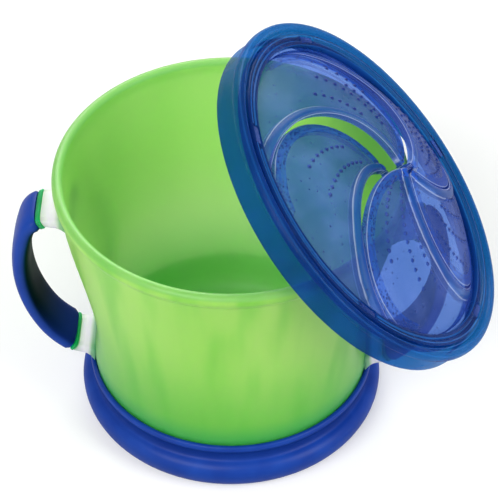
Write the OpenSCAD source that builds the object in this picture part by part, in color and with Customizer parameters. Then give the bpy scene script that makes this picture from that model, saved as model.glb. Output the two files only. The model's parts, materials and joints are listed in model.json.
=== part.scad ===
// Toddler snack container: two-handled cup with a soft base and a lid of five springy flaps.
// Millimetres. Z is up, the cup stands on z = 0 with its axis on Z, the handles lie along X.
// The lid leans on the rim above the +X handle, as in the photograph.

/* [Cup] */
// height of the rim above the table
cup_h = 75; // [60:1:95]
// diameter over the rolled rim
rim_d = 88; // [74:1:104]
// thickness of the cup wall
wall = 1.8; // [1.2:0.1:2.6]
// outside diameter of the wall where it leaves the soft base
foot_d = 69.8; // [58:0.2:78]
// height of the rolled rim band
lip_h = 4.2; // [3:0.1:6]
// how far the rolled rim stands out from the wall
lip_out = 1.2; // [0.6:0.1:2]
// radius of the shallow finger hollow behind each handle
hollow_r = 47.4; // [40:0.2:60]
// depth of the finger hollow, pressed into the wall
hollow_deep = 5; // [3:0.1:6]

/* [Handles] */
// how far the middle line of each handle stands out from the wall
bow_out = 13.5; // [12:0.1:17]
// radius of the handle's upper corner
turn_top = 5; // [4.5:0.1:7]
// width of the green core of the handle
core_w = 10.4; // [8:0.2:13]
// thickness of the green core
core_t = 3; // [2.4:0.1:4]
// width of the arms that join the core to the wall
arm_w = 12; // [10:0.2:14]
// width of the soft grip
grip_w = 13; // [11:0.2:16]
// thickness of the soft grip
grip_t = 4.6; // [4.4:0.1:6]
// upper end of the grip, as an angle round the upper corner
grip_top = 62; // [55:1:72]
// lower end of the grip, as an angle round the lower corner
grip_low = -56; // [-62:1:-50]

/* [Base] */
// how far the soft base stands out round the foot
base_out = 3.4; // [2.6:0.1:6]
// height of the soft base
base_h = 14.4; // [11:0.2:18]

/* [Lid] */
// clearance between the rim and the lid skirt
skirt_gap = 0.8; // [0.5:0.1:1.2]
// wall of the skirt
skirt_t = 1.4; // [1:0.1:2]
// height of the skirt up to the top plate
skirt_h = 6.2; // [4.5:0.1:9]
// thickness of the top plate
plate_t = 2; // [1.6:0.1:3]
// width of the ledge between the skirt and the round opening that holds the flaps
ledge_w = 4.8; // [4.5:0.1:8]

/* [Flaps] */
// height of the dome made by the flaps
dome_h = 13.8; // [8:0.2:14]
// thickness of the soft flaps
flap_t = 1.4; // [1:0.1:2]
// width of the slits between flaps
slit_w = 1; // [0.8:0.1:1.6]
// width of the gap along each fold
fold_w = 1; // [0.8:0.1:2]
// width of the raised lip along each slit
bead_w = 2.2; // [1.4:0.1:3]
// height of the raised lip
bead_h = 0.7; // [0.4:0.1:1.2]
// turn of the spiral about the lid's axis
spiral = 67; // [0:1:72]
// how far flap 1 stands pushed in at rest
bend_1 = 3.5; // [0:0.5:5]
// how far flap 2 stands pushed in at rest
bend_2 = 10; // [0:0.5:12]

/* [Lean] */
// tilt of the leaning lid
lean = 46.6; // [44:0.1:48]
// distance of the lid's middle inside the edge of the rim
lean_in = 15.5; // [14:0.1:18]
// clearance between the rim and the underside of the flaps that lean on it
lean_gap = 1; // [0.8:0.1:2]

/* [Hidden] */
$fn = 72;
rim_r = rim_d / 2;
wall_r = rim_r - lip_out;
foot_r = foot_d / 2;
base_r = foot_r + base_out;
taper = (wall_r - foot_r) / (cup_h - lip_h - base_h);
floor_z = 2.4;
roll_h = base_h - 5.2;
foot_low = foot_r - taper * (base_h - floor_z);
slack = 0.1;
hollow_z = cup_h * 0.454;
hollow_x = wall_at(hollow_z) - hollow_deep;
span = cup_h - base_h;
bow_r = span * 0.647;
turn_low = span * 0.363;
bow_z = base_h + span * 0.505;
bow_x = wall_at(bow_z) + bow_out - bow_r;
bow_up = 17.5;
bow_down = -30.5;
bow = [bow_x, bow_z];
turn_up = bow + polar(bow_r - turn_top, bow_up);
turn_down = bow + polar(bow_r - turn_low, bow_down);
skirt_in = rim_r + skirt_gap;
skirt_r = skirt_in + skirt_t;
mouth_r = skirt_in - ledge_w;
dome_z = skirt_h;
dome_r = (mouth_r * mouth_r + dome_h * dome_h) / (2 * dome_h);
slit_r = mouth_r * 0.5075;
slit_end = mouth_r * 0.9625;
relief_r = 0.8;
corner_r = 1.2;
lean_down = min([for (a = [0:5:60]) room_at(a) / cos(lean)]);
fold_raise = 1.5;
past = 1.7;
rest_bend = [0, bend_1, bend_2, 0, 0, 0];

// radius of the outside of the wall at height z
function wall_at(z) = foot_r + taper * (z - base_h);
function polar(r, a) = [r * cos(a), r * sin(a)];
// direction of the centre of slit circle k, all of which pass through the lid's axis
function aim(k) = spiral + 72 * k + acos(slit_end / (2 * slit_r));
function fold_a(k) = polar(slit_end, spiral + 72 * k);
function fold_b(k) = polar(2 * slit_r * cos(36), aim(k) + 36);
function angle_of(v) = atan2(v[1], v[0]);
// height of the flaps' underside above the open edge of the skirt, at distance r from the lid's axis
function under_at(r) = dome_z + dome_h - dome_r + sqrt(pow(dome_r - flap_t, 2) - r * r);
// how much higher than the lid's middle the rim may stand at angle a, measured square to the lid
function room_at(a) = under_at(norm([4, rim_r * sin(a)])) - lean_gap
    - (lean_in - rim_r * (1 - cos(a))) * sin(lean);
// fold axis ends, raised from the middle of the flap's thickness towards the top of its arch
function on_fold(p) = [p[0], p[1], dome_z + dome_h - dome_r
    + sqrt(pow(dome_r - flap_t / 2, 2) - p[0] * p[0] - p[1] * p[1]) + fold_raise];

module cup_outside() {
    rotate_extrude() polygon([
        [0, floor_z], [foot_low - 1.2, floor_z], [foot_low + 0.1, floor_z + 1.2],
        [wall_at(cup_h - lip_h), cup_h - lip_h], [rim_r - 0.3, cup_h - lip_h + 0.9],
        [rim_r, cup_h - lip_h + 1.8], [rim_r, cup_h - 1.1], [rim_r - 0.35, cup_h - 0.35],
        [rim_r - 1.1, cup_h], [0, cup_h]]);
}

module cup_inside() {
    lift = floor_z + 2;
    rotate_extrude() union() {
        polygon([
            [0, lift], [wall_at(lift) - wall - 4, lift], [wall_at(lift + 1.2) - wall - 1.2, lift + 1.2],
            [wall_at(lift + 4) - wall, lift + 4], [wall_at(cup_h) - wall, cup_h],
            [wall_at(cup_h) - wall, cup_h + 1], [0, cup_h + 1]]);
        polygon([
            [0, cup_h - 0.9], [wall_at(cup_h) - wall - 0.01, cup_h - 0.9],
            [wall_at(cup_h) - wall + 0.7, cup_h + 0.01], [0, cup_h + 0.01]]);
    }
}

// cylinder lying along Y that presses the finger hollow into one side of the wall
module hollow(grow) {
    translate([hollow_x + hollow_r, 0, hollow_z]) rotate([90, 0, 0])
        cylinder(r = hollow_r + grow, h = 90, center = true, $fn = 180);
}

// points at distance r from c between two angles, in n steps
function arc_points(c, r, a0, a1, n) = [for (i = [0:n]) c + polar(r, a0 + (a1 - a0) * i / n)];
// line that follows the handle at distance off outside its middle line, in the XZ plane
function bow_line(off) = concat(
    [turn_down + polar(turn_low + off, grip_low) + polar(past, grip_low - 90)],
    arc_points(turn_down, turn_low + off, grip_low, bow_down, 6),
    arc_points(bow, bow_r + off, bow_down, bow_up, 12),
    arc_points(turn_up, turn_top + off, bow_up, grip_top, 6),
    [turn_up + polar(turn_top + off, grip_top) + polar(past, grip_top + 90)]);
function backwards(v) = [for (i = [len(v) - 1:-1:0]) v[i]];

// extrudes a drawing of the XZ plane to width w along Y
module across(w) translate([0, w / 2, 0]) rotate([90, 0, 0]) linear_extrude(w) children();

// band of thickness t along the whole handle
module band(t) polygon(concat(bow_line(t / 2), backwards(bow_line(-t / 2))));

// block that carries on straight from a point in the direction a, between distances u and v
module stub(p, a, u, v, t) translate(p) rotate(a) translate([u, -t / 2]) square([v - u, t]);

// rounded strut from p to q
module strut(p, q, t) hull() {
    translate(p) circle(d = t, $fn = 32);
    translate(q) circle(d = t, $fn = 32);
}

module handle_core() {
    top = turn_up + polar(turn_top, grip_top);
    low = turn_down + polar(turn_low, grip_low);
    top_end = top + polar(past, grip_top + 90);
    low_end = low + polar(past, grip_low - 90);
    across(core_w) band(core_t);
    across(grip_w - 0.8) stub(top, grip_top + 90, 0.2, 2.2, grip_t - 0.7);
    across(grip_w - 1) stub(low, grip_low - 90, 0.2, 1.3, grip_t - 1);
    across(arm_w) strut([wall_at(top_end[1]) - 0.9, top_end[1] + 0.6], top_end, core_t);
    across(arm_w) strut([wall_at(low_end[1]) - 0.9, low_end[1] - 0.6], low_end, core_t);
}

module cup() color([0.45, 0.78, 0.33]) {
    difference() {
        union() {
            difference() {
                cup_outside();
                for (s = [0, 180]) rotate([0, 0, s]) hollow(0);
            }
            for (s = [0, 180]) rotate([0, 0, s]) handle_core();
        }
        difference() {
            cup_inside();
            for (s = [0, 180]) rotate([0, 0, s]) hollow(wall);
        }
    }
}

// soft cover pressed over the foot of the cup
module base_boot() color([0.13, 0.24, 0.62]) {
    difference() {
        rotate_extrude() polygon([
            [0, 0], [base_r - 5.5, 0], [base_r - 3.6, roll_h * 0.04], [base_r - 2, roll_h * 0.15],
            [base_r - 0.75, roll_h * 0.33], [base_r - 0.1, roll_h * 0.52], [base_r, roll_h * 0.66],
            [base_r - 0.25, roll_h * 0.81], [base_r - 0.9, roll_h * 0.93], [base_r - 1.9, roll_h],
            [foot_r + 0.65, base_h - 4.7], [foot_r + 0.45, base_h - 3.5],
            [foot_r + 0.6, base_h - 1.9], [foot_r + 1.2, base_h - 1.3], [foot_r + 1.3, base_h - 0.6],
            [foot_r + 0.9, base_h - 0.1], [foot_r + 0.4, base_h], [0, base_h]]);
        rotate_extrude() polygon([
            [0, floor_z], [foot_low - 1.2 + slack, floor_z], [foot_low + 0.1 + slack, floor_z + 1.2],
            [wall_at(base_h + 1) + slack, base_h + 1], [0, base_h + 1]]);
    }
}

// rounded bar bent round c; grow thickens it a little where it laps the next one
module bar(c, r, a0, a1, grow) {
    inset = 1.9;
    translate([c[0], 0, c[1]]) rotate([90, 0, 0]) rotate([0, 0, a0])
        rotate_extrude(angle = a1 - a0, $fn = 144)
            translate([r - grip_t / 2 + inset, -grip_w / 2 + inset]) hull()
                for (x = [0, grip_t - 2 * inset], y = [0, grip_w - 2 * inset])
                    translate([x, y]) circle(r = inset + grow, $fn = 32);
}

// soft sleeve round the core of one handle
module grip() difference() {
    union() {
        bar(bow, bow_r, bow_down, bow_up, 0);
        bar(turn_up, turn_top, bow_up - 4, grip_top, 0.05);
        bar(turn_down, turn_low, grip_low, bow_down + 1.5, 0.05);
    }
    across(core_w + 2 * slack) band(core_t + 2 * slack);
}

module left_grip() color([0.13, 0.24, 0.62]) rotate([0, 0, 180]) grip();
module right_grip() color([0.13, 0.24, 0.62]) grip();

// places the lid, which is drawn about its own axis with the open edge of the skirt at z = 0
module leaning() {
    translate([rim_r - lean_in, 0, cup_h - lean_down]) rotate([0, lean, 0]) children();
}

// five places round the mouth where the soft moulding is keyed through the ring
module at_lugs() {
    for (k = [0:4]) rotate([0, 0, spiral + 72 * k - 12]) translate([mouth_r + 1.9, 0, 0]) children();
}

// hard ring with a skirt that fits over the rim
module lid_ring() color([0.16, 0.42, 0.78, 0.6]) leaning() {
    difference() {
        rotate_extrude() polygon([
            [skirt_in, 0.5], [skirt_in + 0.4, 0], [skirt_r - 0.3, 0], [skirt_r, 0.4],
            [skirt_r, skirt_h - 0.9], [skirt_r + 0.7, skirt_h - 0.4], [skirt_r + 0.9, skirt_h + 0.5],
            [skirt_r + 0.8, skirt_h + 1.6], [skirt_r + 0.2, skirt_h + plate_t + 0.3],
            [skirt_r - 0.7, skirt_h + plate_t + 0.5], [skirt_r - 1.3, skirt_h + plate_t + 0.1],
            [skirt_r - 1.6, skirt_h + plate_t - 0.5], [skirt_r - 2.4, skirt_h + plate_t - 0.5],
            [skirt_r - 2.8, skirt_h + plate_t + 0.1], [mouth_r + 0.9, skirt_h + plate_t + 0.3],
            [mouth_r + 0.35, skirt_h + plate_t - 0.1], [mouth_r + 0.35, skirt_h + 0.4],
            [mouth_r + 0.7, skirt_h], [mouth_r + 3.6, skirt_h], [mouth_r + 3.6, skirt_h - 1.2],
            [skirt_in, skirt_h - 2]]);
        at_lugs() translate([-1, -2.6, 0]) cube([2, 5.2, 20]);
    }
}

// thin domed layer between heights a and b above the outside of the flaps
module dome(a, b, r) {
    rotate_extrude() intersection() {
        translate([0, dome_z + dome_h - dome_r]) difference() {
            circle(r = dome_r + b, $fn = 240);
            circle(r = dome_r + a, $fn = 240);
        }
        translate([0, dome_z - 4]) square([r, dome_h + 8]);
    }
}

// slit k runs along this circle, which passes through the lid's axis
module slit_disc(k, grow) translate(polar(slit_r, aim(k))) circle(r = slit_r + grow, $fn = 90);

// everything on the axis side of fold line k, moved outward by off
module within_fold(k, off) {
    translate(fold_a(k)) rotate(angle_of(fold_b(k) - fold_a(k)))
        translate([-60, -off]) square([160, 110]);
}

module flap_outline(k) difference() {
    intersection() {
        difference() {
            slit_disc(k, -slit_w / 2);
            slit_disc(k + 1, slit_w / 2);
        }
        within_fold(k, 0);
    }
    translate(fold_b(k)) circle(r = corner_r, $fn = 24);
}

// the flap's outline with its slits and its fold gap, cut out of the web
module flap_clearance(k) intersection() {
    difference() {
        slit_disc(k, slit_w / 2);
        slit_disc(k + 1, -slit_w / 2);
    }
    within_fold(k, fold_w);
}

module web_outline() difference() {
    circle(r = mouth_r + 0.1);
    for (k = [0:4]) flap_clearance(k);
    for (k = [0:4]) translate(fold_a(k)) circle(r = relief_r, $fn = 24);
}

// narrow lip just inside slit circle k
module inner_lip(k) difference() {
    slit_disc(k, 0);
    slit_disc(k, -slit_w / 2 - bead_w * 0.7);
}

// wider lip just outside slit circle k
module outer_lip(k) difference() {
    slit_disc(k, slit_w / 2 + bead_w);
    slit_disc(k, 0);
}

// one tongue, turned inward about its fold line by its rest bend
module flap(k) color([0.16, 0.42, 0.78, 0.6]) leaning()
    translate(on_fold(fold_a(k)))
    rotate(a = -rest_bend[k], v = on_fold(fold_b(k)) - on_fold(fold_a(k)))
    translate(-on_fold(fold_a(k))) {
        intersection() {
            dome(-flap_t, 0, mouth_r + 0.2);
            linear_extrude(40) flap_outline(k);
        }
        intersection() {
            dome(-flap_t / 2, bead_h, mouth_r + 0.2);
            linear_extrude(40) intersection() {
                flap_outline(k);
                union() {
                    inner_lip(k);
                    outer_lip(k + 1);
                }
            }
        }
    }

// soft moulding that the tongues hang from, keyed into the ring by its flange and lugs
module flap_web() color([0.16, 0.42, 0.78, 0.6]) leaning() {
    intersection() {
        dome(-flap_t, 0, mouth_r + 0.2);
        linear_extrude(40) web_outline();
    }
    intersection() {
        dome(-flap_t / 2, bead_h, mouth_r - 0.6);
        linear_extrude(40) intersection() {
            web_outline();
            for (k = [0:4]) outer_lip(k);
        }
    }
    rotate_extrude() polygon([
        [mouth_r - 0.6, skirt_h - 1.9], [mouth_r + 3.4, skirt_h - 1.9],
        [mouth_r + 3.4, skirt_h - 0.1], [mouth_r - 0.1, skirt_h - 0.1], [mouth_r - 0.6, skirt_h - 0.5]]);
    at_lugs() translate([-0.8, -2.4, skirt_h - 1]) cube([1.6, 4.8, plate_t + 1.1]);
}

module flap_1() flap(1);
module flap_2() flap(2);
module flap_3() flap(3);
module flap_4() flap(4);
module flap_5() flap(5);

cup();
base_boot();
left_grip();
right_grip();
lid_ring();
flap_web();
flap_1();
flap_2();
flap_3();
flap_4();
flap_5();
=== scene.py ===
# %% [markdown]
# Toddler snack container
#
# A two-handled cup of translucent green plastic stands in a soft blue boot, with soft blue sleeves
# on its handles. A clear blue lid leans on the rim. Its middle is five springy tongues that a small
# hand pushes through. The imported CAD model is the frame: it says where every piece is and how it
# moves, and this script gives each piece its finished shape and surface.

# %% The frame
import json
import math
import bmesh
import bpy
from mathutils import Matrix, Vector
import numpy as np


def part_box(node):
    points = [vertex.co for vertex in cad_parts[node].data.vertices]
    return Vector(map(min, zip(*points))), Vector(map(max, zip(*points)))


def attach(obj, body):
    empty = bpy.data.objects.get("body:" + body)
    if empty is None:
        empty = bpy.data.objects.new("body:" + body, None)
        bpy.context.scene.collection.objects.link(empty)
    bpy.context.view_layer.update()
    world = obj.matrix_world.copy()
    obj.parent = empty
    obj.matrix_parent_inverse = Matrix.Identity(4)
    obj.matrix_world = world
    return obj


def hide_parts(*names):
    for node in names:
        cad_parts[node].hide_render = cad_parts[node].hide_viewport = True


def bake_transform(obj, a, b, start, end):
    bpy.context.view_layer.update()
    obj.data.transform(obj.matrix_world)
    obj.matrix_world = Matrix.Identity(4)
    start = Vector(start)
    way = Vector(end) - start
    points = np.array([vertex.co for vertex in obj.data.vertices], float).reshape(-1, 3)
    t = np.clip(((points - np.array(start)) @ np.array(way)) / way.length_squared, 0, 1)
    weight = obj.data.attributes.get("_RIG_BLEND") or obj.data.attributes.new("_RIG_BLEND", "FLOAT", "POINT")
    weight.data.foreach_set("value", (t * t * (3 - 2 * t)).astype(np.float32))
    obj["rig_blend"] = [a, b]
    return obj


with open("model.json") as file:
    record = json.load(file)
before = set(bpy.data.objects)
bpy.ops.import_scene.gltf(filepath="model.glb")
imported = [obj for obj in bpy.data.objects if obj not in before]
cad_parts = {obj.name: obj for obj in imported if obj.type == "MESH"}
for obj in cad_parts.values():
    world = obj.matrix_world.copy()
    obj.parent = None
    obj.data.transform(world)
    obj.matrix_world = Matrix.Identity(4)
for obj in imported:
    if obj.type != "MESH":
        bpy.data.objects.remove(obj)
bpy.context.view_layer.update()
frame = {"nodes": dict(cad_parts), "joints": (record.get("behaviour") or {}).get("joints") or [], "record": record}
joints = {joint["name"]: joint for joint in frame["joints"]}
print("nodes:", sorted(frame["nodes"]))

# %% [markdown]
# Sizes are read off the frame, so nothing here has to be fitted by eye. Shapes are drawn in
# millimetres and turned into metres when a piece is finished. The lid leans, so it is simpler to
# draw it upright about its own axis: the lid's hinge says how far it has to turn to lie level, and
# the opposite turn puts what was drawn upright where the lid really is.

# %% Driving sizes
MM = 0.001
TO_METRES = Matrix.Scale(MM, 4)
cup_low, cup_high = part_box("cup")
boot_low, boot_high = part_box("base_boot")
grip_box_low, grip_box_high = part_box("right_grip")
CUP_H = cup_high.z / MM
RIM_R = cup_high.y / MM
BOOT_R = boot_high.x / MM
BOOT_H = boot_high.z / MM
FLOOR_Z = cup_low.z / MM

swing = joints["lid_swing"]
LEAN = math.radians(max(swing["range_deg"]))
pole = Vector(swing["pos_m"])
level = (
    Matrix.Translation(pole)
    @ Matrix.Rotation(LEAN, 4, Vector(swing["axis"]))
    @ Matrix.Translation(-pole)
)
ring_level = [level @ v.co for v in frame["nodes"]["lid_ring"].data.vertices]
LID_R = max(v.xy.length for v in ring_level) / MM
LID_H = (max(v.z for v in ring_level) - min(v.z for v in ring_level)) / MM
lid_place = level.inverted() @ Matrix.Translation((0, 0, min(v.z for v in ring_level)))
print(f"cup {CUP_H:.1f} high, rim {RIM_R:.1f}, boot {BOOT_R:.1f}, lid {LID_R:.1f} by {LID_H:.1f} mm")


# %% [markdown]
# Colours are picked as the 0 to 255 values a screen shows, but shaders work in linear light, so
# each value is converted once, here.

# %% Colours
def screen(red, green, blue):
    def linear(value):
        value /= 255
        return value / 12.92 if value <= 0.04045 else ((value + 0.055) / 1.055) ** 2.4

    return (linear(red), linear(green), linear(blue), 1.0)


# %% [markdown]
# A shader tree is easier to read as sums than as wires. The class below wraps one socket. Adding,
# multiplying or comparing wrapped sockets adds the Math nodes that do it, so that a mask can be
# written as 1 - height. Every other node comes from one method, which takes the node's type, its
# settings and what goes into its sockets.

# %% Shader sockets as numbers
class Signal:
    def __init__(self, tree, socket):
        self.tree = tree
        self.socket = socket

    def math(self, operation, *others):
        node = self.tree.nodes.new("ShaderNodeMath")
        node.operation = operation
        for socket, value in zip(node.inputs, (self, *others)):
            plug(self.tree, socket, value)
        return Signal(self.tree, node.outputs[0])

    def __add__(self, other):
        return self.math("ADD", other)

    def __mul__(self, other):
        return self.math("MULTIPLY", other)

    def __sub__(self, other):
        return self.math("SUBTRACT", other)

    def __rsub__(self, other):
        return Signal(self.tree, constant(self.tree, other)).math("SUBTRACT", self)

    __radd__ = __add__
    __rmul__ = __mul__

    def absolute(self):
        return self.math("ABSOLUTE")

    def most(self, other):
        return self.math("MAXIMUM", other)

    def rise(self, low, high):
        """0 below low, 1 above high, and a smooth step between them."""
        node = self.tree.nodes.new("ShaderNodeMapRange")
        node.interpolation_type = "SMOOTHSTEP"
        for name, value in {"Value": self, "From Min": low, "From Max": high}.items():
            plug(self.tree, node.inputs[name], value)
        return Signal(self.tree, node.outputs["Result"])

    def between(self, low, high, soft=0.08):
        """1 from low to high, and 0 outside, with soft edges."""
        return self.rise(low - soft, low + soft) * (1 - self.rise(high - soft, high + soft))


def constant(tree, value):
    node = tree.nodes.new("ShaderNodeValue")
    node.outputs[0].default_value = value
    return node.outputs[0]


def plug(tree, socket, value):
    if isinstance(value, Signal):
        tree.links.new(value.socket, socket)
    else:
        socket.default_value = value


class Finish:
    """A material that is being written."""

    def __init__(self, name):
        self.material = bpy.data.materials.new(name)
        self.material.use_nodes = True
        self.tree = self.material.node_tree
        self.tree.nodes.clear()
        self.here = self.node("TexCoord", out="Object")

    def node(self, kind, settings=(), sockets=(), out=0):
        node = self.tree.nodes.new("ShaderNode" + kind)
        for name, value in dict(settings).items():
            setattr(node, name, value)
        for name, value in dict(sockets).items():
            plug(self.tree, node.inputs[name], value)
        return Signal(self.tree, node.outputs[out]) if node.outputs else None

    def axis(self, letter):
        """How far along X, Y or Z a point is, in millimetres."""
        return self.node("SeparateXYZ", sockets={"Vector": self.here}, out=letter) * 1000

    def stretched(self, x, y, z):
        return self.node("Mapping", sockets={"Vector": self.here, "Scale": (x, y, z)})

    def noise(self, size, detail=3.0, where=None):
        """Cloudy values from 0 to 1, with features about size millimetres across."""
        sockets = {"Vector": where or self.here, "Scale": 1 / (size * MM), "Detail": detail}
        return self.node("TexNoise", sockets=sockets)

    def cells(self, size):
        """Distance from the nearest of many scattered points, for specks."""
        sockets = {"Vector": self.here, "Scale": 1 / (size * MM)}
        return self.node("TexVoronoi", sockets=sockets, out="Distance")

    def mark(self, name):
        """A value painted on the mesh's points."""
        return self.node("Attribute", {"attribute_name": name}, out="Fac")

    def colours(self, mask, first, second):
        """first where mask is 0, second where it is 1."""
        node = self.tree.nodes.new("ShaderNodeMix")
        node.data_type = "RGBA"
        for socket in node.inputs:
            if socket.identifier == "Factor_Float":
                plug(self.tree, socket, mask)
            elif socket.identifier == "A_Color":
                plug(self.tree, socket, first)
            elif socket.identifier == "B_Color":
                plug(self.tree, socket, second)
        (result,) = (s for s in node.outputs if s.identifier == "Result_Color")
        return Signal(self.tree, result)

    def bump(self, height, depth):
        """Raises the surface where height is 1 by depth millimetres."""
        sockets = {"Height": height, "Distance": depth * MM, "Strength": 1.0}
        return self.node("Bump", sockets=sockets)

    def surface(self, **values):
        """The main shader. Words joined by _ are its socket names."""
        sockets = {name.replace("_", " "): value for name, value in values.items()}
        return self.node("BsdfPrincipled", sockets=sockets)

    def done(self, shader):
        self.node("OutputMaterial", sockets={"Surface": shader})
        return self.material


# %% [markdown]
# The green shell is polypropylene, which is milky: light soaks in, spreads and comes out of the
# far side, and that is why the inside of the cup glows. Subsurface scattering does the same, and
# low down the inside is also painted paler, a painted glow. The outside is deeper towards the
# boot, with upright streaks of painted shade, and the rolled lip is paler. Meshes carry painted
# values: inside, for the inner side of the wall, arm, where a painted highlight makes the handle's
# arms almost white, and collar, where the core's thick plastic is emerald by the grip's ends and
# painted shade darkens the fillets at the wall. Scattering alone turns the inside dark where the
# boot or a handle keeps the light from the wall's outer face, and the real plastic isn't that
# clear, so an ordinary matte green is mixed in there, most of all on the floor.

# %% Green shell
def green_shell():
    make = Finish("green_shell")
    height = make.axis("Z")
    arm, collar, inside = make.mark("arm"), make.mark("collar"), make.mark("inside")
    cloud = make.noise(26.0, 1.0, make.stretched(1, 1, 0.3))
    # Upright streaks of painted shade on the outside.
    shade_streaks = make.noise(8.0, 1.5, make.stretched(1, 1, 0.1)).rise(0.42, 0.68)
    outside = 1 - inside
    colour = make.colours(cloud.rise(0.3, 0.75), screen(132, 186, 76), screen(148, 194, 92))
    # Low on the inside the wall is painted paler, a painted glow.
    inside_glow = inside * (1 - height.rise(12, 58))
    colour = make.colours(inside_glow * 0.9, colour, screen(206, 244, 182))
    colour = make.colours(outside * shade_streaks * 0.7, colour, screen(98, 170, 48))
    low = outside * (1 - height.rise(BOOT_H, BOOT_H + 40))
    colour = make.colours(low * 0.75, colour, screen(66, 166, 40))
    near_boot = outside * (1 - height.rise(BOOT_H + 1, BOOT_H + 9))
    colour = make.colours(near_boot * 0.75, colour, screen(30, 150, 64))
    lip = height.rise(CUP_H - 1.6, CUP_H - 0.6)
    colour = make.colours(lip * 0.75, colour, screen(108, 166, 88))
    # Emerald: the core's own thick plastic by the grip's ends, and painted shade on the fillets at the wall.
    colour = make.colours(collar, colour, screen(0, 156, 82))
    # A near-white painted highlight on the handle's arms.
    colour = make.colours(arm, colour, screen(250, 252, 250))
    grain = make.noise(0.9, 2.0)
    milky = make.surface(
        Base_Color=colour,
        Roughness=0.32 + 0.14 * cloud,
        Normal=make.bump(grain, 0.01),
        Subsurface_Weight=0.9,
        Subsurface_Radius=(1.0, 1.25, 0.75),
        Subsurface_Scale=0.01,
        IOR=1.45,
        Coat_Weight=0.08,
        Coat_Roughness=0.25,
    )
    matte = make.surface(
        Base_Color=make.colours(cloud.rise(0.3, 0.75), screen(152, 246, 118), screen(166, 252, 134)),
        Roughness=0.34 + 0.14 * cloud,
        Normal=make.bump(grain, 0.01),
    )
    share = inside * (0.8 - 0.45 * height.rise(10, 34))
    return make.done(make.node("MixShader", sockets={0: share, 1: milky, 2: matte}))


# %% [markdown]
# The boot and the grips are a soft rubbery plastic. It isn't shiny, but it isn't dull either: a
# broad, weak highlight with a fine satin grain. The meshes carry a painted value, shade, for the
# faces that get almost no light: the inner face of the grips and the groove of the boot.

# %% Soft blue
def soft_blue():
    make = Finish("soft_blue")
    shade = make.mark("shade")
    height = make.axis("Z")
    cloud = make.noise(9.0, 3.0)
    colour = make.colours(cloud.rise(0.3, 0.75), screen(12, 54, 146), screen(20, 66, 162))
    dark = make.colours(height.rise(20, 34), screen(14, 40, 112), screen(0, 20, 40))
    dark = make.colours(height.rise(34, 52), dark, screen(0, 42, 36))
    colour = make.colours(shade, colour, dark)
    grain = make.noise(0.35, 2.0)
    shader = make.surface(
        Base_Color=colour,
        Roughness=0.42 + 0.2 * cloud,
        Normal=make.bump(grain, 0.008),
        Specular_IOR_Level=0.05,
        Coat_Weight=0.3 * (1 - shade),
        Coat_Roughness=0.33,
    )
    return make.done(shader)


# %% [markdown]
# The lid is clear blue plastic a millimetre or two thick. Glass shaders bend what is behind them
# and make dark shadows, and neither is seen in such a thin wall. Here every face is part blue
# plastic and part colour filter. Light crosses two faces in each wall, so the blue deepens by
# itself wherever ridges, beads and walls lie behind each other. The mesh carries two painted
# values: deep, which marks the flat top of the ring, and radius, the distance from the lid's axis
# in millimetres. The sine of radius gives the fine ridges that run round the top, as bumps and as
# paler painted highlight lines along them.

# %% Clear blue
RING_FILTER = (0.13, 0.57, 0.92, 1.0)
RIDGE_TURNS = math.tau / 1.25


def clear_blue():
    make = Finish("clear_blue")
    deep, radius = make.mark("deep"), make.mark("radius")
    cloud = make.noise(11.0, 2.0)
    ridges_and_highlights = (radius * RIDGE_TURNS).math("SINE").rise(0.35, 0.95) * deep
    colour = make.colours(cloud.rise(0.3, 0.75), screen(10, 58, 126), screen(24, 76, 158))
    colour = make.colours(deep, colour, screen(0, 44, 106))
    # Paler lines along the ridges are painted highlights.
    colour = make.colours(ridges_and_highlights * 0.6, colour, screen(50, 130, 214))
    plastic = make.surface(
        Base_Color=colour,
        Roughness=0.2 + 0.14 * cloud,
        Normal=make.bump(ridges_and_highlights + 0.1 * make.noise(2.2, 2.0), 0.12),
        Specular_IOR_Level=0.1,
        Coat_Weight=0.06,
        Coat_Roughness=0.12,
    )
    film = make.node("BsdfTransparent", sockets={"Color": RING_FILTER})
    solid = 0.4 + 0.08 * cloud + 0.22 * deep
    return make.done(make.node("MixShader", sockets={0: solid, 1: film, 2: plastic}))


# %% [markdown]
# The tongues are a softer, slightly cloudy version of the same blue. Their edges are lined. On one
# side of each slit a smooth lip has a pale strip, a dark strip and a thin line of painted highlight,
# and both cut edges of a slit carry a thin painted highlight too. On the other side there is a dark
# stippled band. Thin lines need crisp edges, which values on a mesh's points can't give when the
# points are far apart. So the mesh carries distances instead, in millimetres from each of its two
# slits, and the shader works the lines out of them. Two more values are reach, which is 0 past the
# slits' ends, and dot, which paints one side of each raised dot dark as painted shade. Small
# bubbles are scattered about.

# %% Flap blue
FLAP_FILTER = (0.42, 0.59, 0.93, 1.0)
FLAP_MARKS = ("from_next", "from_own", "reach", "dot")


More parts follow.
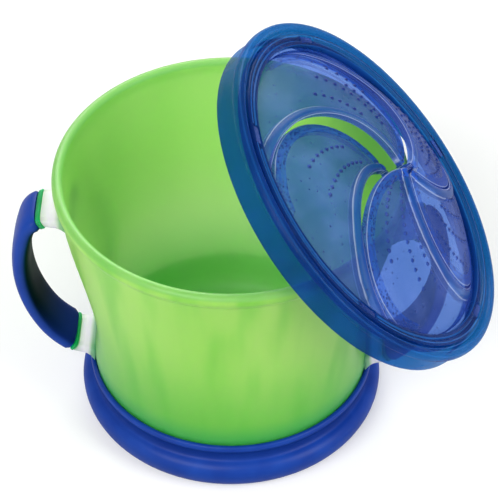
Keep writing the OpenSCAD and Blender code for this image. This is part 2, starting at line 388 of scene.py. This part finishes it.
def flap_blue():
    make = Finish("flap_blue")
    from_next, from_own, reach, dot = (make.mark(name) for name in FLAP_MARKS)
    cloud = make.noise(10.0, 3.0)
    specks = 1 - make.cells(0.8).rise(0.28, 0.44)
    bubbles = 1 - make.cells(2.4).rise(0.08, 0.13)
    pale = from_next.between(-9, 1.0) * reach
    strip = from_next.between(1.0, 2.5) * reach
    band = from_own.between(0.5, 2.9) * reach
    # Thin painted highlights: along both cut edges of each slit, and a line along the lip.
    edge_highlight = from_next.between(0.34, 0.5).most(from_own.between(0.34, 0.5))
    highlight_line = from_next.between(2.6, 2.8).most(edge_highlight) * reach
    dark = (band * specks).most(bubbles).most(dot)
    colour = make.colours(cloud.rise(0.3, 0.7), screen(62, 98, 174), screen(100, 130, 210))
    colour = make.colours(pale * 0.6, colour, screen(104, 130, 206))
    colour = make.colours(strip * 0.9, colour, screen(0, 74, 150))
    colour = make.colours(band * 0.75, colour, screen(20, 84, 200))
    colour = make.colours(dark * 0.9, colour, screen(0, 30, 104))
    colour = make.colours(highlight_line * 0.6, colour, screen(206, 220, 244))
    plastic = make.surface(
        Base_Color=colour,
        Roughness=0.3 + 0.15 * cloud + 0.15 * band,
        Normal=make.bump(specks * band + 0.1 * make.noise(1.2, 2.0), 0.12),
        Specular_IOR_Level=0.22,
        Coat_Weight=0.04,
        Coat_Roughness=0.3,
    )
    film = make.node("BsdfTransparent", sockets={"Color": FLAP_FILTER})
    solid = 0.28 + 0.1 * cloud + 0.35 * strip + 0.2 * highlight_line + 0.15 * band + 0.42 * dark
    return make.done(make.node("MixShader", sockets={0: solid, 1: film, 2: plastic}))


materials = {
    "green_shell": green_shell(),
    "soft_blue": soft_blue(),
    "clear_blue": clear_blue(),
    "flap_blue": flap_blue(),
}
for name, node_object in frame["nodes"].items():
    slots = {part["node"]: part["material_slot"] for part in frame["record"]["subparts"]}
    node_object.data.materials.clear()
    node_object.data.materials.append(materials[slots[name]])
print("materials:", list(materials))


# %% [markdown]
# Most of these pieces are round, so they start as a flat section beside the axis. Each corner
# brings its own rounding, which a vertex bevel cuts before the section is spun. A section that
# touches the axis loses the edge that lies on it, because that edge would sweep out no surface.

# %% Sections and spins
ROUND_STEPS = 4
SPIN_STEPS = 160


def drawing(*marks):
    """An empty drawing with layers for painted values."""
    bm = bmesh.new()
    for mark in marks:
        bm.verts.layers.float.new(mark)
    return bm


def paint(bm, verts, name, value):
    """Writes a value, or what a function of the vertex gives, into a layer."""
    layer = bm.verts.layers.float.get(name) or bm.verts.layers.float.new(name)
    for vert in verts:
        vert[layer] = value(vert) if callable(value) else value


def section(corners):
    """corners are (radius, height, rounding) in millimetres, in order round the section."""
    bm = bmesh.new()
    points = [bm.verts.new((radius, 0, height)) for radius, height, _ in corners]
    bm.faces.new(points)
    for point, (_, _, rounding) in zip(points, corners):
        if rounding:
            bmesh.ops.bevel(
                bm, geom=[point], offset=rounding, offset_type="OFFSET", segments=ROUND_STEPS,
                profile=0.5, affect="VERTICES", clamp_overlap=True, material=-1,
            )
    return bm


def spin(bm, longest=4.0, steps=SPIN_STEPS):
    """Sweeps the section's outline once round Z. No edge stays longer than longest."""
    bmesh.ops.delete(bm, geom=bm.faces[:], context="FACES_ONLY")
    on_axis = [e for e in bm.edges if max(v.co.x for v in e.verts) < 1e-6]
    bmesh.ops.delete(bm, geom=on_axis, context="EDGES")
    for edge in [e for e in bm.edges if e.calc_length() > longest]:
        cuts = math.ceil(edge.calc_length() / longest) - 1
        bmesh.ops.subdivide_edges(bm, edges=[edge], cuts=cuts)
    bmesh.ops.spin(
        bm, geom=bm.verts[:] + bm.edges[:], cent=(0, 0, 0), axis=(0, 0, 1),
        angle=math.tau, steps=steps, use_merge=True, use_duplicate=False,
    )
    bmesh.ops.remove_doubles(bm, verts=bm.verts[:], dist=1e-4)
    bmesh.ops.recalc_face_normals(bm, faces=bm.faces[:])
    return bm


def piece(bm, name, material, place=Matrix.Identity(4), crease=45):
    """Turns a drawing in millimetres into a finished object in its place."""
    bm.transform(place @ TO_METRES)
    mesh = bpy.data.meshes.new(name)
    bm.to_mesh(mesh)
    bm.free()
    mesh.shade_smooth()
    mesh.set_sharp_from_angle(angle=math.radians(crease))
    mesh.materials.append(materials[material])
    obj = bpy.data.objects.new(name, mesh)
    bpy.context.scene.collection.objects.link(obj)
    size = [round(max(v.co[i] for v in mesh.vertices) - min(v.co[i] for v in mesh.vertices), 4)
            for i in range(3)]
    print(f"{name}: {len(mesh.polygons)} faces, {size} m")
    return obj


# %% [markdown]
# The cup is one spun wall with a rolled lip. Both sides are pressed in behind the handles to make
# room for a child's fingers: the real mould does this with a big shallow cylinder. The vertices
# near it are moved inward with a soft minimum, which rounds the edge of the hollow as a moulding
# has it, and the inside of the wall follows the outside.

# %% Cup wall
WALL = 1.8
FOOT_R = 34.9
LIP_H = 4.2
LIP_OUT = 1.2
HOLLOW_R = 47.4
HOLLOW_DEEP = 5.0
HOLLOW_Z = CUP_H * 0.454
SOFT_EDGE = 2.6
TAPER = (RIM_R - LIP_OUT - FOOT_R) / (CUP_H - LIP_H - BOOT_H)


def wall_at(height):
    return FOOT_R + TAPER * (height - BOOT_H)


def ease(value, low, high):
    share = min(max((value - low) / (high - low), 0), 1)
    return share * share * (3 - 2 * share)


HOLLOW_X = wall_at(HOLLOW_Z) - HOLLOW_DEEP


def soft_min(a, b, width):
    share = min(max(0.5 + 0.5 * (b - a) / width, 0), 1)
    return b + (a - b) * share - width * share * (1 - share)


def press_hollows(bm):
    for vert in bm.verts:
        off = vert.co.z - HOLLOW_Z
        if abs(off) >= HOLLOW_R - 1 or abs(vert.co.x) < 20:
            continue
        face = HOLLOW_X + HOLLOW_R - math.sqrt(HOLLOW_R**2 - off**2)
        if vert.co.xy.length < wall_at(vert.co.z) - WALL / 2:
            face -= WALL
        pressed = soft_min(abs(vert.co.x), face, SOFT_EDGE)
        vert.co.x = math.copysign(pressed, vert.co.x)


def cup_wall():
    lip_z = CUP_H - LIP_H
    foot = wall_at(FLOOR_Z)
    inner_lip = wall_at(CUP_H) - WALL - 0.1
    bm = section([
        (0, FLOOR_Z, 0), (foot, FLOOR_Z, 1.6), (wall_at(lip_z), lip_z, 0.7),
        (RIM_R, lip_z + 1.3, 0.9), (RIM_R, CUP_H, 1.35), (inner_lip, CUP_H, 1.1),
        (wall_at(CUP_H - 3) - WALL, CUP_H - 3, 1.0), (wall_at(FLOOR_Z + 2) - WALL, FLOOR_Z + 2, 5),
        (0, FLOOR_Z + 2, 0),
    ])
    spin(bm, longest=2.6, steps=192)

    def inside(vert):
        return ease(wall_at(vert.co.z) - WALL / 2 - vert.co.xy.length, -0.5, 0.5)

    paint(bm, bm.verts, "inside", inside)
    press_hollows(bm)
    return bm


cup_wall_piece = piece(cup_wall(), "cup_wall", "green_shell")
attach(cup_wall_piece, "cup_body")
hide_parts("cup")

# %% [markdown]
# A handle is a flat bar that leaves the wall, turns a tight corner, runs down in a long arc and
# comes back to the wall above the boot. Only its two arms and the collars at the ends of the grip
# show. It is drawn as rounded rectangles at stations along a path of three arcs, each joined to the
# next, and it spreads where it meets the wall, as a moulded arm has a fillet there. The soft grip
# is a sleeve on the same path, closed inside as well as outside.

# %% Bars along the bow
GRIP_TOP, GRIP_LOW = 62.0, -56.0
CORE_W, CORE_T = 10.4, 3.0
GRIP_W, GRIP_T = 13.0, 4.6
ARM_W = 12.0
SLACK = 0.1
TOP_PAST = 0.8
LOOP_POINTS = 40
SPAN = CUP_H - BOOT_H
BOW_R, TURN_TOP, TURN_LOW = SPAN * 0.647, 5.0, SPAN * 0.363
BOW_UP, BOW_DOWN = 17.5, -30.5
BOW_Z = BOOT_H + SPAN * 0.505
BOW_X = wall_at(BOW_Z) + 13.5 - BOW_R


def ray(angle, length):
    return Vector((math.cos(math.radians(angle)), 0, math.sin(math.radians(angle)))) * length


BOW = Vector((BOW_X, 0, BOW_Z))
TOP_TURN = BOW + ray(BOW_UP, BOW_R - TURN_TOP)
LOW_TURN = BOW + ray(BOW_DOWN, BOW_R - TURN_LOW)
TOP_END = TOP_TURN + ray(GRIP_TOP, TURN_TOP)
LOW_END = LOW_TURN + ray(GRIP_LOW, TURN_LOW)


def bow_stations():
    """Places along the grip from its top to its lower end, each with the direction of travel."""
    stations = []
    for middle, radius, start, stop, steps in (
        (TOP_TURN, TURN_TOP, GRIP_TOP, BOW_UP, 8), (BOW, BOW_R, BOW_UP, BOW_DOWN, 24),
        (LOW_TURN, TURN_LOW, BOW_DOWN, GRIP_LOW, 10),
    ):
        for step in range(steps):
            angle = start + (stop - start) * step / steps
            stations.append((middle + ray(angle, radius), angle - 90))
    return [*stations, (LOW_END, GRIP_LOW - 90)]


def loop(bm, spot, heading, width, thickness, squareness, **marks):
    """A rounded rectangle across the path. Its width lies along Y, and +X is the outer face."""
    made = bmesh.ops.create_circle(bm, segments=LOOP_POINTS, radius=1)["verts"]
    for name, value in marks.items():
        paint(bm, made, name, value)
    for vert in made:
        x, y = vert.co.x, vert.co.y
        vert.co.x = math.copysign(abs(x) ** squareness, x) * thickness / 2
        vert.co.y = math.copysign(abs(y) ** squareness, y) * width / 2
    turn = Matrix.Rotation(math.radians(90 - heading), 4, "Y")
    bmesh.ops.transform(bm, matrix=Matrix.Translation(spot) @ turn, verts=made)
    return list({e for v in made for e in v.link_edges})


def chain(bm, loops):
    for first, second in zip(loops, loops[1:]):
        bmesh.ops.bridge_loops(bm, edges=first + second)


def arm_stations(end, heading, rise, collar, past, length):
    """From the grip's end to the wall: collar first, then the arm and its fillet."""
    away = ray(heading, 1)
    leave = end + away * 1.7
    wall = Vector((wall_at(leave.z) - 0.9, 0, leave.z + rise))
    onward = math.degrees(math.atan2(wall.z - leave.z, wall.x - leave.x))
    stations = [(end + away * past, heading, CORE_W, CORE_T, 0, 1)]
    for far, less in ((past + 0.01, 0.7), (past + 0.3, 0.0), (length - 0.3, 0.0), (length, 0.7)):
        stations.append((end + away * far, heading, collar[0] - less, collar[1] - less, 0, 1))
    stations.append((end + away * (length + 0.02), heading, ARM_W, CORE_T, 0.5, 0.5))
    # Towards the wall the arm's painted highlight fades and painted shade (collar) darkens the fillet.
    for share, width, thickness, arm in (
        (0.35, 1, 1, 1), (0.55, 1.02, 1.08, 0.9), (0.75, 1.1, 1.25, 0.2), (1, 1.3, 1.6, 0),
    ):
        spot = leave.lerp(wall, share)
        stations.append((spot, onward, ARM_W * width, CORE_T * thickness, arm, 0.7 * (1 - arm)))
    return stations


def handle_core():
    bm = drawing("arm", "collar")
    top_arm = arm_stations(TOP_END, GRIP_TOP + 90, 0.6, (GRIP_W - 0.8, GRIP_T - 0.7), TOP_PAST + 0.1, 2.4)
    low_arm = arm_stations(LOW_END, GRIP_LOW - 90, -0.6, (GRIP_W - 1.0, GRIP_T - 1.0), 0.2, 1.3)
    stations = [(spot, heading + 180, *size) for spot, heading, *size in reversed(top_arm)]
    stations += [(*place, CORE_W, CORE_T, 0, 0) for place in bow_stations()[1:-1]]
    stations += low_arm
    loops = [loop(bm, *size, 0.42, arm=arm, collar=collar) for *size, arm, collar in stations]
    chain(bm, loops)
    bmesh.ops.holes_fill(bm, edges=loops[0] + loops[-1], sides=0)
    bmesh.ops.recalc_face_normals(bm, faces=bm.faces[:])
    return bm


def grip():
    bm = drawing("shade")
    outer, inner = [], []
    stations = [(TOP_END + ray(GRIP_TOP + 90, TOP_PAST), GRIP_TOP - 90), *bow_stations()]
    for number, (spot, heading) in enumerate(stations):
        shrink = 0.9 if number in (0, len(stations) - 1) else 1
        size = GRIP_W * shrink, GRIP_T * shrink
        outer.append(loop(bm, spot, heading, *size, 0.62, shade=lambda v: ease(v.co.x, -0.1, 0.5)))
        inner.append(loop(bm, spot, heading, CORE_W + 2 * SLACK, CORE_T + 2 * SLACK, 0.42))
    chain(bm, outer)
    chain(bm, inner)
    for end in (0, -1):
        bmesh.ops.bridge_loops(bm, edges=outer[end] + inner[end])
    bmesh.ops.recalc_face_normals(bm, faces=bm.faces[:])
    return bm


HALF_TURN = Matrix.Rotation(math.pi, 4, "Z")
for side, place in (("right", Matrix.Identity(4)), ("left", HALF_TURN)):
    core_piece = piece(handle_core(), f"{side}_handle_core", "green_shell", place)
    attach(core_piece, "cup_body")
    grip_piece = piece(grip(), f"{side}_grip_sleeve", "soft_blue", place)
    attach(grip_piece, "cup_body")
    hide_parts(f"{side}_grip")

# %% [markdown]
# The boot is stretched over the foot of the cup. From the seam down it has a thin bright lip, a
# hollow groove and a fat roll that stands on the table.

# %% Boot
ROLL_H = BOOT_H - 5.2


def boot():
    foot = wall_at(FLOOR_Z)
    top = wall_at(BOOT_H)
    widest = ROLL_H * 0.66
    under = [(BOOT_R - 5.5 + 5.5 * math.sin(a), widest * (1 - math.cos(a)), 0)
             for a in (math.radians(10 * step) for step in range(10))]
    over = [(BOOT_R - 2.6 + 2.6 * math.cos(a), widest + (ROLL_H - widest) * math.sin(a), 0)
            for a in (math.radians(15 * step) for step in range(1, 6))]
    bm = section([
        (0, 0, 0), *under, *over, (top + 0.4, BOOT_H - 4.9, 0.9), (top + 0.4, BOOT_H - 2.5, 1.0),
        (top + 1.35, BOOT_H - 1.3, 0.5), (top + 1.1, BOOT_H, 0.45), (top + 0.1, BOOT_H, 0.25),
        (foot + 0.1, FLOOR_Z, 1.5), (0, FLOOR_Z, 0),
    ])
    spin(bm, longest=3.0)

    def shade(vert):
        depth = ease(BOOT_R - 2.2 - vert.co.xy.length, 0, 0.6)
        return 0.6 * depth * ease(vert.co.z, BOOT_H - 5.4, BOOT_H - 4.4) * (
            1 - ease(vert.co.z, BOOT_H - 2.2, BOOT_H - 1.5))

    paint(bm, bm.verts, "shade", shade)
    return bm


boot_piece = piece(boot(), "boot", "soft_blue")
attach(boot_piece, "cup_body")
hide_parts("base_boot")

# %% [markdown]
# The lid's ring has an open-ended skirt, a rounded shoulder, and a top of fine ridges and grooves,
# whose thin bright lines are painted highlights. Five windows in its inner ledge let the lugs of
# the soft moulding through. They are cut with a Boolean, and the result is kept as a plain mesh.

# %% Lid ring
SKIRT_T = 1.4
SHOULDER = 0.9
SKIRT_R = LID_R - SHOULDER
SKIRT_IN = SKIRT_R - SKIRT_T
SKIRT_H = LID_H - 2.5
MOUTH_R = SKIRT_IN - 4.8
OUTER_R = LID_R - 0.1
TOP = LID_H - 0.1
SPIRAL = 67.0
LUG_TURN = 12.0


def ring():
    bm = section([
        (SKIRT_IN, 0, 0.35), (SKIRT_R, 0, 0.4), (SKIRT_R, SKIRT_H - 0.7, 0.4),
        (OUTER_R, SKIRT_H - 0.1, 0.4), (OUTER_R, TOP, 1.4), (SKIRT_IN + 0.1, TOP, 0.6),
        (SKIRT_IN - 0.35, TOP - 1.15, 0.25), (SKIRT_IN - 0.95, TOP - 1.15, 0.25),
        (SKIRT_IN - 1.3, TOP - 0.25, 0.35), (MOUTH_R + 2.3, TOP - 0.2, 0.3),
        (MOUTH_R + 2.05, TOP - 0.65, 0.15), (MOUTH_R + 1.65, TOP - 0.65, 0.15),
        (MOUTH_R + 1.4, TOP - 0.2, 0.3), (MOUTH_R + 0.35, TOP - 0.3, 0.4),
        (MOUTH_R + 0.35, SKIRT_H + 0.3, 0.2), (MOUTH_R + 0.7, SKIRT_H, 0.15),
        (MOUTH_R + 3.6, SKIRT_H, 0), (MOUTH_R + 3.6, SKIRT_H - 1.2, 0), (SKIRT_IN, SKIRT_H - 2, 0.3),
    ])
    spin(bm, longest=3.0, steps=192)

    def deep(vert):
        radius, height = vert.co.xy.length, vert.co.z
        return ease(height, SKIRT_H, SKIRT_H + 1) * (
            ease(radius, MOUTH_R, MOUTH_R + 0.5) - 0.6 * ease(radius, SKIRT_IN - 1.2, SKIRT_IN))

    paint(bm, bm.verts, "deep", deep)
    paint(bm, bm.verts, "radius", lambda v: v.co.xy.length)
    return bm


def around_ring(step, radius):
    return Matrix.Rotation(math.radians(SPIRAL + 72 * step - LUG_TURN), 4, "Z") @ Matrix.Translation(
        (radius, 0, 0))


def blocks(width, length, low, high, rounding):
    """Five rounded blocks, one at each lug's place."""
    bm = bmesh.new()
    for step in range(5):
        size = Matrix.Diagonal((width, length, high - low, 1))
        place = around_ring(step, MOUTH_R + 1.9) @ Matrix.Translation((0, 0, (low + high) / 2))
        made = bmesh.ops.create_cube(bm, size=1, matrix=place @ size)["verts"]
        if rounding:
            edges = list({e for v in made for e in v.link_edges})
            bmesh.ops.bevel(
                bm, geom=edges, offset=rounding, offset_type="OFFSET", segments=2, profile=0.5,
                affect="EDGES", clamp_overlap=True, material=-1,
            )
    return bm


def cut(obj, bm):
    """Cuts the drawing bm out of obj and keeps the result as its mesh."""
    cutter_mesh = bpy.data.meshes.new("cutter")
    bm.transform(lid_place @ TO_METRES)
    bm.to_mesh(cutter_mesh)
    bm.free()
    cutter = bpy.data.objects.new("cutter", cutter_mesh)
    bpy.context.scene.collection.objects.link(cutter)
    modifier = obj.modifiers.new("cut", "BOOLEAN")
    modifier.operation = "DIFFERENCE"
    modifier.solver = "EXACT"
    modifier.object = cutter
    bpy.context.view_layer.update()
    seen = obj.evaluated_get(bpy.context.evaluated_depsgraph_get())
    done = bpy.data.meshes.new_from_object(seen)
    obj.modifiers.clear()
    obj.data = done
    bpy.data.objects.remove(cutter)


ring_piece = piece(ring(), "lid_ring_clear", "clear_blue", lid_place)
cut(ring_piece, blocks(2.0, 5.2, SKIRT_H - 2, TOP + 2, 0))
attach(ring_piece, "lid")
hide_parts("lid_ring")

# %% [markdown]
# The soft moulding's rim lies under the ledge and its lugs fill the windows. It holds the roots of
# all five tongues.

# %% Flap seat
def flap_seat():
    bm = section([
        (MOUTH_R - 0.4, SKIRT_H - 1.9, 0.2), (MOUTH_R + 3.4, SKIRT_H - 1.9, 0.3),
        (MOUTH_R + 3.4, SKIRT_H - 0.1, 0.2), (MOUTH_R - 0.1, SKIRT_H - 0.1, 0.15),
        (MOUTH_R - 0.4, SKIRT_H - 0.5, 0),
    ])
    spin(bm)
    lugs = blocks(1.6, 4.8, SKIRT_H - 0.1, TOP - 0.35, 0.2)
    mesh = bpy.data.meshes.new("lugs")
    lugs.to_mesh(mesh)
    lugs.free()
    bm.from_mesh(mesh)
    bpy.data.meshes.remove(mesh)
    return bm


seat_piece = piece(flap_seat(), "flap_seat", "flap_blue", lid_place)
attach(seat_piece, "lid")
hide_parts("flap_web")

# %% [markdown]
# Each slit is an arc of a circle that passes through the lid's middle, and the next slit is the
# same arc a fifth of a turn on. So at any distance from the middle a tongue spans one fifth of the
# circle, which is what makes the pinwheel. A flat grid is bent into that shape: one way across it
# runs from slit to slit, the other way from the tip to the rim. A second layer closes it
# underneath. Columns crowd towards the slits, where the bead and the band need them.

# %% Tongue surface
SLIT_R = MOUTH_R * 0.5075
SLIT_END = MOUTH_R * 0.9625
SLIT_W = 0.5
DOME_H = 13.8
FLAP_T = 1.3
DOME_R = (MOUTH_R**2 + DOME_H**2) / (2 * DOME_H)
BEAD_W, BEAD_H = 2.7, 0.7
BAND_W, BAND_H = 2.3, 0.3
TIP_R, ROOT_R = 1.3, MOUTH_R - 0.1
OPEN = {1: (0.35, 14), 2: (0.45, 32), 3: (0.9, 28)}
ACROSS, ALONG = 64, 60


def aim(k):
    """Direction of the middle of slit k's circle."""
    return math.radians(SPIRAL + 72 * k) + math.acos(SLIT_END / (2 * SLIT_R))


def slit_middle(k):
    return Vector((math.cos(aim(k)), math.sin(aim(k)))) * SLIT_R


def slit_angle(k, radius, off):
    """Direction at which the circle of slit k, made larger by off, is radius from the middle."""
    share = (radius**2 - 2 * SLIT_R * off - off**2) / (2 * SLIT_R * radius)
    return aim(k) - math.acos(min(max(share, -1), 1))


def dome(radius, below=0.0):
    """Height of the dome, or of the surface that lies below it by that much."""
    return SKIRT_H + DOME_H - DOME_R + math.sqrt((DOME_R - below) ** 2 - radius**2)


def opening(k, radius):
    """How much slit k is opened on each side: it tapers to nothing at a given distance."""
    width, reach = OPEN.get((k - 1) % 5 + 1, (0, 1))
    return width * max(0, 1 - (radius / reach) ** 2)


def half_gap(k, radius):
    """Half the slit's width: rounded off at the tips, and closed past the slit's end."""
    narrow = SLIT_W / 2 * (1 - 0.9 * ease(radius, SLIT_END, SLIT_END + 0.5))
    return narrow + opening(k, radius) + 0.9 * math.exp(-(radius - TIP_R) / 0.9)


def relief(k, spot):
    """Height of the raised edges at a spot, its distance from each slit, and reach."""
    from_next = (spot - slit_middle(k + 1)).length - SLIT_R - opening(k + 1, spot.length)
    from_own = SLIT_R - (spot - slit_middle(k)).length - opening(k, spot.length)
    past_middle = Vector((math.cos(aim(k)), math.sin(aim(k)))).cross(spot)
    from_own += 2 * max(0, past_middle)
    inner = 1 - ease(spot.length, SLIT_END - 0.6, SLIT_END + 1.2)
    across = min(max(from_next / BEAD_W, 0), 1)
    bead = math.sin(math.pi * across) ** 0.5 * inner
    groove = max(0, 1 - abs(from_next - BEAD_W - 0.25) / 0.5, 1 - abs(from_next - 0.4) / 0.45) * inner
    band = ease(from_own, 0, 0.5) * (1 - ease(from_own, BAND_W - 0.4, BAND_W)) * inner
    height = max(BEAD_H * bead, BAND_H * band) - 0.2 * groove
    return height, from_next, from_own, inner


def tongue(k):
    bm = drawing(*FLAP_MARKS)
    bmesh.ops.create_grid(bm, x_segments=ACROSS, y_segments=ALONG, size=0.5)
    under = bmesh.ops.duplicate(bm, geom=bm.verts[:] + bm.edges[:] + bm.faces[:])["geom"]
    low_verts = [g for g in under if isinstance(g, bmesh.types.BMVert)]
    bmesh.ops.reverse_faces(bm, faces=[g for g in under if isinstance(g, bmesh.types.BMFace)])
    bmesh.ops.translate(bm, vec=(0, 0, -1), verts=low_verts)
    bmesh.ops.bridge_loops(bm, edges=[e for e in bm.edges if e.is_boundary])
    marks = [bm.verts.layers.float[name] for name in FLAP_MARKS[:3]]
    for vert in bm.verts:
        share = 0.5 - 0.5 * math.cos(math.pi * (vert.co.x + 0.5))
        radius = TIP_R + (ROOT_R - TIP_R) * (vert.co.y + 0.5)
        first = slit_angle(k, radius, -half_gap(k, radius))
        last = slit_angle(k + 1, radius, half_gap(k + 1, radius))
        angle = first + (last - first) * share
        spot = Vector((math.cos(angle), math.sin(angle))) * radius
        height, *painted = relief(k, spot)
        is_under = vert.co.z < -0.5
        vert.co = (*spot, dome(radius, FLAP_T) if is_under else dome(radius) + height)
        for mark, value in zip(marks, painted):
            vert[mark] = value
    bmesh.ops.recalc_face_normals(bm, faces=bm.faces[:])
    return bm


# %% [markdown]
# Rows of small raised dots run along each tongue and give wet fingers some grip. A dot is a low
# cone with a flat top, set on the dome and turned to stand square on it. Each row keeps the same
# share of the way from slit to slit and runs between two distances from the middle.

# %% Dots
DOT_R, DOT_H = 0.58, 0.42
DOT_PITCH = 1.8
DOT_ROWS = {
    1: ((0.13, 25, 33), (0.30, 17, 27), (0.43, 14, 31), (0.72, 17, 29.5)),
    2: ((0.35, 17, 30), (0.62, 12, 29)),
    3: ((0.28, 8, 28), (0.56, 7, 31), (0.76, 14, 32)),
    4: ((0.22, 18, 32), (0.44, 13, 32), (0.67, 15, 27), (0.86, 18, 24)),
    5: ((0.22, 12, 30), (0.42, 11, 31), (0.6, 14, 30), (0.78, 17, 27)),
}


def add_dots(bm, k):
    count = 0
    for share, start, stop in DOT_ROWS[k]:
        radius = start
        while radius < stop:
            first = slit_angle(k, radius, 0)
            last = slit_angle(k + 1, radius, 0)
            angle = first + (last - first) * share
            spot = Vector((math.cos(angle) * radius, math.sin(angle) * radius, dome(radius)))
            up = spot - Vector((0, 0, SKIRT_H + DOME_H - DOME_R))
            place = Matrix.Translation(spot) @ up.to_track_quat("Z", "Y").to_matrix().to_4x4()
            made = bmesh.ops.create_cone(
                bm, cap_ends=True, cap_tris=False, segments=10, radius1=DOT_R, radius2=DOT_R * 0.45,
                depth=DOT_H, matrix=place @ Matrix.Translation((0, 0, DOT_H / 2 - 0.03)),
            )["verts"]
            # Half of the cone's points, one side of the dot, are painted dark: a painted shade.
            paint(bm, made[:10], "dot", 1.0)
            count += 1
            radius += DOT_PITCH
    return count


# %% [markdown]
# A tongue bends where it joins the rim. Two of them rest a little pushed in, so their meshes are
# bent about the fold line first.

# %% Five tongues
REST_BEND = {1: 3.5, 2: 11.5}
FOLD_HALF = 2.6 * MM
lid_up = (lid_place.to_3x3() @ Vector((0, 0, 1))).normalized()
lid_middle = lid_place @ Vector((0, 0, 0))


def bend(obj, spot, axis, inward, degrees):
    for vert in obj.data.vertices:
        share = ease((vert.co - spot).dot(inward), -FOLD_HALF, FOLD_HALF)
        turn = Matrix.Rotation(-math.radians(degrees) * share, 3, axis)
        vert.co = spot + turn @ (vert.co - spot)


for k in range(1, 6):
    fold = joints[f"flap_{k}_fold"]
    spot, axis = Vector(fold["pos_m"]), Vector(fold["axis"]).normalized()
    inward = lid_up.cross(axis).normalized()
    if inward.dot(lid_middle - spot) < 0:
        inward = -inward
    bm = tongue(k)
    dots = add_dots(bm, k)
    flap = piece(bm, f"tongue_{k}", "flap_blue", lid_place, crease=60)
    if k in REST_BEND:
        bend(flap, spot, axis, inward, REST_BEND[k])
    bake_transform(flap, "lid", f"flap_{k}", start=spot - inward * FOLD_HALF, end=spot + inward * FOLD_HALF)
    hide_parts(f"flap_{k}")
    print(f"tongue {k}: {dots} dots, bent in by {REST_BEND.get(k, 0)} degrees at rest")

# %% [markdown]
# The object stands on a pale floor that runs out of sight. The floor's own glow is only seen by
# the camera and through the clear parts, so it looks white without lighting the object, and it
# still takes the object's soft shadow.

# %% Floor
def pale_floor():
    make = Finish("pale_floor")
    seen = make.node("LightPath", out="Is Camera Ray")
    matte = make.node("BsdfDiffuse", sockets={"Color": (0.8, 0.8, 0.8, 1), "Roughness": 1.0})
    glow = make.node("Emission", sockets={"Color": (1, 1, 1, 1), "Strength": seen * 0.22})
    both = make.node("AddShader", sockets={0: matte, 1: glow})
    return make.done(both)


bm = bmesh.new()
bmesh.ops.create_grid(bm, x_segments=1, y_segments=1, size=3000)
bm.transform(TO_METRES)
floor_mesh = bpy.data.meshes.new("floor")
bm.to_mesh(floor_mesh)
bm.free()
floor_mesh.materials.append(pale_floor())
floor = bpy.data.objects.new("floor", floor_mesh)
bpy.context.scene.collection.objects.link(floor)

# %% [markdown]
# Studio light for a small glossy thing is a few large soft panels. One above and to the left is
# the main light, one on the right fills the shadows, and one behind lights the translucent wall
# from the far side. The world adds an even, weak glow.

# %% Lights
def panel(name, spot, size, watts, target=(0, 0, 0.04)):
    lamp = bpy.data.lights.new(name, "AREA")
    lamp.shape = "RECTANGLE"
    lamp.size, lamp.size_y = size
    lamp.energy = watts
    obj = bpy.data.objects.new(name, lamp)
    obj.location = spot
    obj.rotation_euler = (Vector(target) - Vector(spot)).to_track_quat("-Z", "Y").to_euler()
    bpy.context.scene.collection.objects.link(obj)


panel("main_panel", (-0.45, -0.9, 0.8), (1.0, 0.8), 9.5)
panel("fill_panel", (0.85, -0.5, 0.6), (0.6, 0.8), 6.0)
panel("back_panel", (-0.1, 0.9, 0.7), (0.9, 0.5), 8.0)

world = bpy.data.worlds.new("studio")
bpy.context.scene.world = world
world.use_nodes = True
sky = world.node_tree
path = Signal(sky, sky.nodes.new("ShaderNodeLightPath").outputs["Is Camera Ray"])
plug(sky, sky.nodes["Background"].inputs["Color"], (1, 1, 1, 1))
plug(sky, sky.nodes["Background"].inputs["Strength"], 0.48 + 0.54 * path)
bpy.context.scene.view_settings.view_transform = "Standard"

# %% [markdown]
# The camera stands about 0.9 m away and looks down at 45 degrees with a long lens, which is how
# the outlines of the rim, the boot and the lid fit together in the photograph. The aim is a little
# right of and above the middle of the cup, because the picture leaves room for the lid.

# %% Camera
AZIMUTH, ELEVATION = math.radians(3.3), math.radians(44.58)
DISTANCE = 0.880
LENS = 252.0
MIDDLE = Vector((0, 0, 0.0396))
AIM_RIGHT, AIM_UP = 0.00458, 0.00642

back = Vector((
    math.sin(AZIMUTH) * math.cos(ELEVATION), -math.cos(AZIMUTH) * math.cos(ELEVATION),
    math.sin(ELEVATION),
))
right = Vector((math.cos(AZIMUTH), math.sin(AZIMUTH), 0))
up = back.cross(right)
lens = bpy.data.cameras.new("camera")
lens.lens = LENS
lens.sensor_width = 36
lens.sensor_fit = "HORIZONTAL"
lens.clip_start, lens.clip_end = 0.05, 20
camera = bpy.data.objects.new("camera", lens)
camera.location = MIDDLE + back * DISTANCE
aim_at = MIDDLE + right * AIM_RIGHT + up * AIM_UP
camera.rotation_euler = (camera.location - aim_at).to_track_quat("Z", "Y").to_euler()
bpy.context.scene.collection.objects.link(camera)
bpy.context.scene.camera = camera
print("camera at", [round(v, 4) for v in camera.location])
